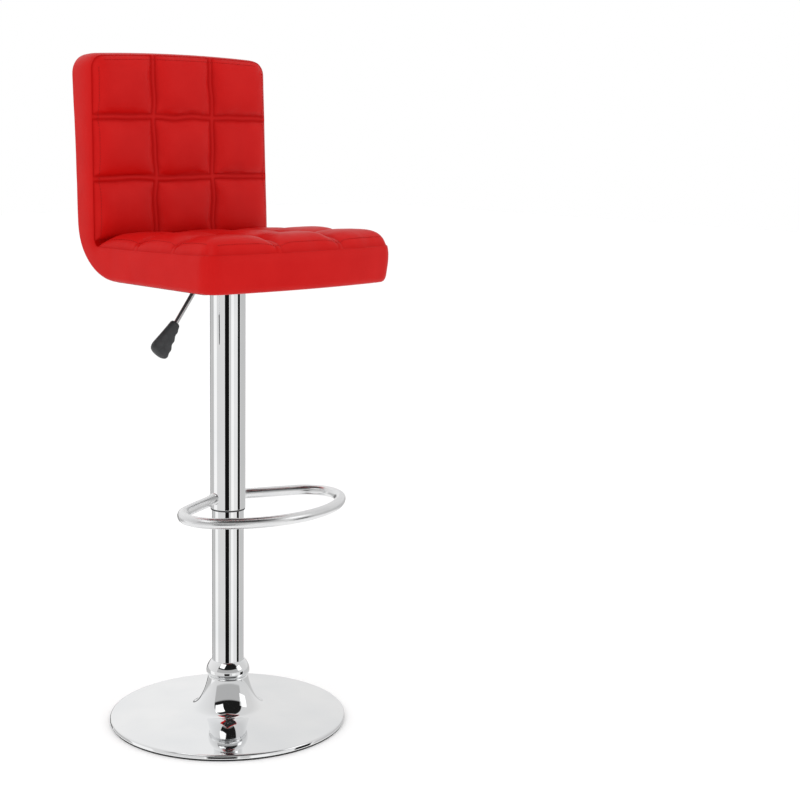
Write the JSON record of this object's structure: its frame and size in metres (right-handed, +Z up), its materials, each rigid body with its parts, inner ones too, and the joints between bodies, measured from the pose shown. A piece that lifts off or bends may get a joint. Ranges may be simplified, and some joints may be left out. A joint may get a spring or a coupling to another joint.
{
  "type": "adjustable swivel bar stool",
  "caption": "gas-lift bar stool with a quilted L-shaped seat and low back, a bent footrest loop on its sleeve, a release lever and a round trumpet base",
  "frame": {"origin": "on the floor at the swivel axis, at the centre of the round base", "axes": "+Z up along the swivel axis and the lift; a sitter faces -Y, with the backrest at +Y and the release lever at -X"},
  "size_m": [0.39, 0.396, 1.091],
  "materials": {
    "chrome": "polished",
    "steel": "satin",
    "black_steel": "satin",
    "rubber": "matte",
    "black_plastic": "satin",
    "white_plastic": "satin",
    "red_leather": "satin",
    "foam": "satin",
    "plywood": "matte",
    "non_woven": "matte"
  },
  "bodies": {
    "base": {"floor_ring": "rubber", "ballast_plate": "black_steel", "base_shell": "chrome", "base_hub": "steel", "collar_ring": "chrome", "column_tube": "chrome", "column_foot_plate": "steel", "guide_bush": "white_plastic", "bearing_lower_washer": "steel"},
    "bearing_cage": {"ball_cage": "steel"},
    "piston": {"piston_rod": "chrome", "piston_head": "steel", "piston_seal": "rubber", "bump_stop": "rubber", "bearing_upper_washer": "steel", "rod_retaining_clip": "steel"},
    "release_valve": {"release_pin": "steel"},
    "release_lever": {"lever_rod": "chrome", "lever_grip": "black_plastic"},
    "seat_lift": {"pressure_tube": "black_steel", "rod_guide": "black_plastic", "valve_body": "steel", "sleeve_tube": "chrome", "sleeve_guide_ring": "black_plastic", "taper_hub": "steel", "footrest_ring": "chrome", "mechanism_channel": "black_steel", "mounting_plate": "black_steel", "lever_pivot_pin": "steel", "lever_pivot_clip": "steel", "seat_board": "plywood", "seat_cushion": "foam", "back_cushion": "foam", "rear_cover": "red_leather", "dust_cover": "non_woven", "bolt_front_left": "steel", "washer_front_left": "steel", "tee_nut_front_left": "steel", "bolt_front_right": "steel", "washer_front_right": "steel", "tee_nut_front_right": "steel", "bolt_rear_left": "steel", "washer_rear_left": "steel", "tee_nut_rear_left": "steel", "bolt_rear_right": "steel", "washer_rear_right": "steel", "tee_nut_rear_right": "steel"}
  },
  "joints": [
    {"name": "swivel", "type": "hinge", "parent": "base", "child": "piston", "pos_m": [0, 0, 0.02], "axis": [0, 0, 1], "continuous": true},
    {"name": "bearing_cage_turn", "type": "hinge", "parent": "base", "child": "bearing_cage", "pos_m": [0, 0, 0.02], "axis": [0, 0, 1], "continuous": true},
    {"name": "lift", "type": "slide", "parent": "piston", "child": "seat_lift", "axis": [0, 0, 1], "range_m": [-0.21, 0], "stiffness_N_per_m": 500, "springref_m": 0.7},
    {"name": "lever_pivot", "type": "hinge", "parent": "seat_lift", "child": "release_lever", "pos_m": [-0.03, 0, 0.73], "axis": [0, 1, 0], "range_deg": [0, 6], "stiffness_Nm_per_rad": 0.5, "springref_deg": -11.46},
    {"name": "valve_travel", "type": "slide", "parent": "seat_lift", "child": "release_valve", "axis": [0, 0, 1], "range_m": [-0.0035, 0]}
  ],
  "couplings": [
    {"joint": "bearing_cage_turn", "follows": "swivel", "ratio": 0.5},
    {"joint": "valve_travel", "follows": "lever_pivot", "m_per_rad": -0.032}
  ]
}
